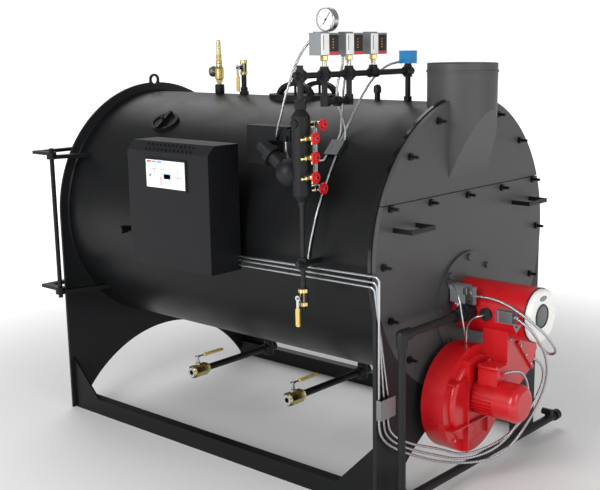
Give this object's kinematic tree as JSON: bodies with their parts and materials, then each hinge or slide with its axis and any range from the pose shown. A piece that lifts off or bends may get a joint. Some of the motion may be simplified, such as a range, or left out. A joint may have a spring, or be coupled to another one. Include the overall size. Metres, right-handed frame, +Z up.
{
  "type": "industrial fire-tube boiler",
  "caption": "Horizontal fire-tube boiler with gas burner, control panel, water column, pressure controls and blow-down valves on a skid.",
  "frame": {"origin": "on the floor, under the middle of the shell", "axes": "+X from the rear door to the burner, -Y the control panel side, +Z up"},
  "size_m": [2.7856, 1.63, 2.165],
  "materials": {
    "actuator_conduit": "bright zinc spiral conduit",
    "blowdown_lever_front": "steel strip with a yellow grip",
    "blowdown_lever_rear": "steel strip with a yellow grip",
    "blowdown_pipes": "black pipe",
    "blowdown_valves": "forged brass",
    "burner_air_duct": "red enamel",
    "burner_controls": "grey enamel boxes",
    "burner_end_cap": "white enamel",
    "burner_housing": "red enamel",
    "burner_plate": "satin black enamel",
    "cock_wheel_high": "red enamel",
    "cock_wheel_low": "red enamel",
    "cock_wheel_middle": "red enamel",
    "column_drain": "black pipe with a brass valve",
    "conduit_clamps": "galvanised sheet",
    "control_panel": "dark grey powder coat",
    "damper_conduit": "bright zinc spiral conduit",
    "door_hardware": "satin black enamel",
    "drain_lever": "steel strip with a yellow grip",
    "fan_casing": "red enamel",
    "fan_motor": "red enamel",
    "far_control_conduit": "bright zinc spiral conduit",
    "float_chamber": "dark grey",
    "front_saddle_plate": "satin black enamel",
    "gas_pipework": "black gas pipe",
    "gas_switch_conduit": "bright zinc spiral conduit",
    "gauge_glass": "clear",
    "gauge_wheel_bottom": "red enamel",
    "gauge_wheel_top": "red enamel",
    "inspection_ports": "satin black enamel",
    "level_conduit": "bright zinc spiral conduit",
    "limit_conduit": "bright zinc spiral conduit",
    "limit_control": "blue enamel",
    "low_water_switch": "dark grey",
    "lower_front_door": "satin black enamel",
    "manifold_pipework": "black malleable iron",
    "manway": "satin black enamel",
    "motor_conduit": "bright zinc spiral conduit",
    "near_control_conduit": "bright zinc spiral conduit",
    "panel_mounts": "satin black enamel",
    "panel_screen": "screen behind glass",
    "pressure_controls": "grey enamel boxes on brass",
    "pressure_gauge": "steel rim, white dial",
    "rear_door": "satin black enamel",
    "rear_hinge_brackets": "satin black enamel",
    "rear_saddle_plate": "satin black enamel",
    "rigid_conduits": "galvanised",
    "safety_valve": "cast brass and steel cap",
    "shell": "satin black enamel",
    "skid_rails": "satin black enamel",
    "smokebox_ring": "satin black enamel",
    "stack": "satin black enamel",
    "upper_front_door": "satin black enamel",
    "vent_lever": "steel strip with a yellow grip",
    "vent_valve": "black pipe with a brass valve",
    "water_column": "dark grey, with brass cocks"
  },
  "bodies": {
    "boiler": {"actuator_conduit": "actuator_conduit", "blowdown_pipes": "blowdown_pipes", "blowdown_valves": "blowdown_valves", "burner_air_duct": "burner_air_duct", "burner_controls": "burner_controls", "burner_end_cap": "burner_end_cap", "burner_housing": "burner_housing", "burner_plate": "burner_plate", "column_drain": "column_drain", "conduit_clamps": "conduit_clamps", "control_panel": "control_panel", "damper_conduit": "damper_conduit", "door_hardware": "door_hardware", "fan_casing": "fan_casing", "fan_motor": "fan_motor", "far_control_conduit": "far_control_conduit", "float_chamber": "float_chamber", "front_saddle_plate": "front_saddle_plate", "gas_pipework": "gas_pipework", "gas_switch_conduit": "gas_switch_conduit", "gauge_glass": "gauge_glass", "inspection_ports": "inspection_ports", "level_conduit": "level_conduit", "limit_conduit": "limit_conduit", "limit_control": "limit_control", "low_water_switch": "low_water_switch", "lower_front_door": "lower_front_door", "manifold_pipework": "manifold_pipework", "manway": "manway", "motor_conduit": "motor_conduit", "near_control_conduit": "near_control_conduit", "panel_mounts": "panel_mounts", "panel_screen": "panel_screen", "pressure_controls": "pressure_controls", "pressure_gauge": "pressure_gauge", "rear_hinge_brackets": "rear_hinge_brackets", "rear_saddle_plate": "rear_saddle_plate", "rigid_conduits": "rigid_conduits", "safety_valve": "safety_valve", "shell": "shell", "skid_rails": "skid_rails", "smokebox_ring": "smokebox_ring", "stack": "stack", "upper_front_door": "upper_front_door", "vent_valve": "vent_valve", "water_column": "water_column"},
    "rear_door": {"rear_door": "rear_door"},
    "blowdown_lever_rear": {"blowdown_lever_rear": "blowdown_lever_rear"},
    "blowdown_lever_front": {"blowdown_lever_front": "blowdown_lever_front"},
    "vent_lever": {"vent_lever": "vent_lever"},
    "drain_lever": {"drain_lever": "drain_lever"},
    "gauge_wheel_top": {"gauge_wheel_top": "gauge_wheel_top"},
    "cock_wheel_high": {"cock_wheel_high": "cock_wheel_high"},
    "cock_wheel_middle": {"cock_wheel_middle": "cock_wheel_middle"},
    "cock_wheel_low": {"cock_wheel_low": "cock_wheel_low"},
    "gauge_wheel_bottom": {"gauge_wheel_bottom": "gauge_wheel_bottom"}
  },
  "joints": [
    {"name": "rear_door_swing", "type": "hinge", "parent": "boiler", "child": "rear_door", "pos_m": [-1.061, -0.752, 1.095], "axis": [0, 0, 1], "range_deg": [0, 110]},
    {"name": "blowdown_lever_rear_turn", "type": "hinge", "parent": "boiler", "child": "blowdown_lever_rear", "pos_m": [-0.212, -0.5302, 0.425], "axis": [0, 0, 1], "range_deg": [0, 90]},
    {"name": "blowdown_lever_front_turn", "type": "hinge", "parent": "boiler", "child": "blowdown_lever_front", "pos_m": [0.46, -0.5302, 0.425], "axis": [0, 0, 1], "range_deg": [0, 90]},
    {"name": "vent_lever_turn", "type": "hinge", "parent": "boiler", "child": "vent_lever", "pos_m": [-0.351, -0.043, 1.8875], "axis": [0, -1, 0], "range_deg": [0, 90]},
    {"name": "drain_lever_turn", "type": "hinge", "parent": "boiler", "child": "drain_lever", "pos_m": [0.741, -0.79, 0.938], "axis": [0, -1, 0], "range_deg": [0, 90]},
    {"name": "gauge_wheel_top_turn", "type": "hinge", "parent": "boiler", "child": "gauge_wheel_top", "pos_m": [0.787, -0.669, 1.68], "axis": [1, 0, 0], "continuous": true},
    {"name": "cock_wheel_high_turn", "type": "hinge", "parent": "boiler", "child": "cock_wheel_high", "pos_m": [0.819, -0.755, 1.631], "axis": [1, 0, 0], "continuous": true},
    {"name": "cock_wheel_middle_turn", "type": "hinge", "parent": "boiler", "child": "cock_wheel_middle", "pos_m": [0.819, -0.755, 1.55], "axis": [1, 0, 0], "continuous": true},
    {"name": "cock_wheel_low_turn", "type": "hinge", "parent": "boiler", "child": "cock_wheel_low", "pos_m": [0.819, -0.755, 1.466], "axis": [1, 0, 0], "continuous": true},
    {"name": "gauge_wheel_bottom_turn", "type": "hinge", "parent": "boiler", "child": "gauge_wheel_bottom", "pos_m": [0.787, -0.669, 1.408], "axis": [1, 0, 0], "continuous": true}
  ]
}
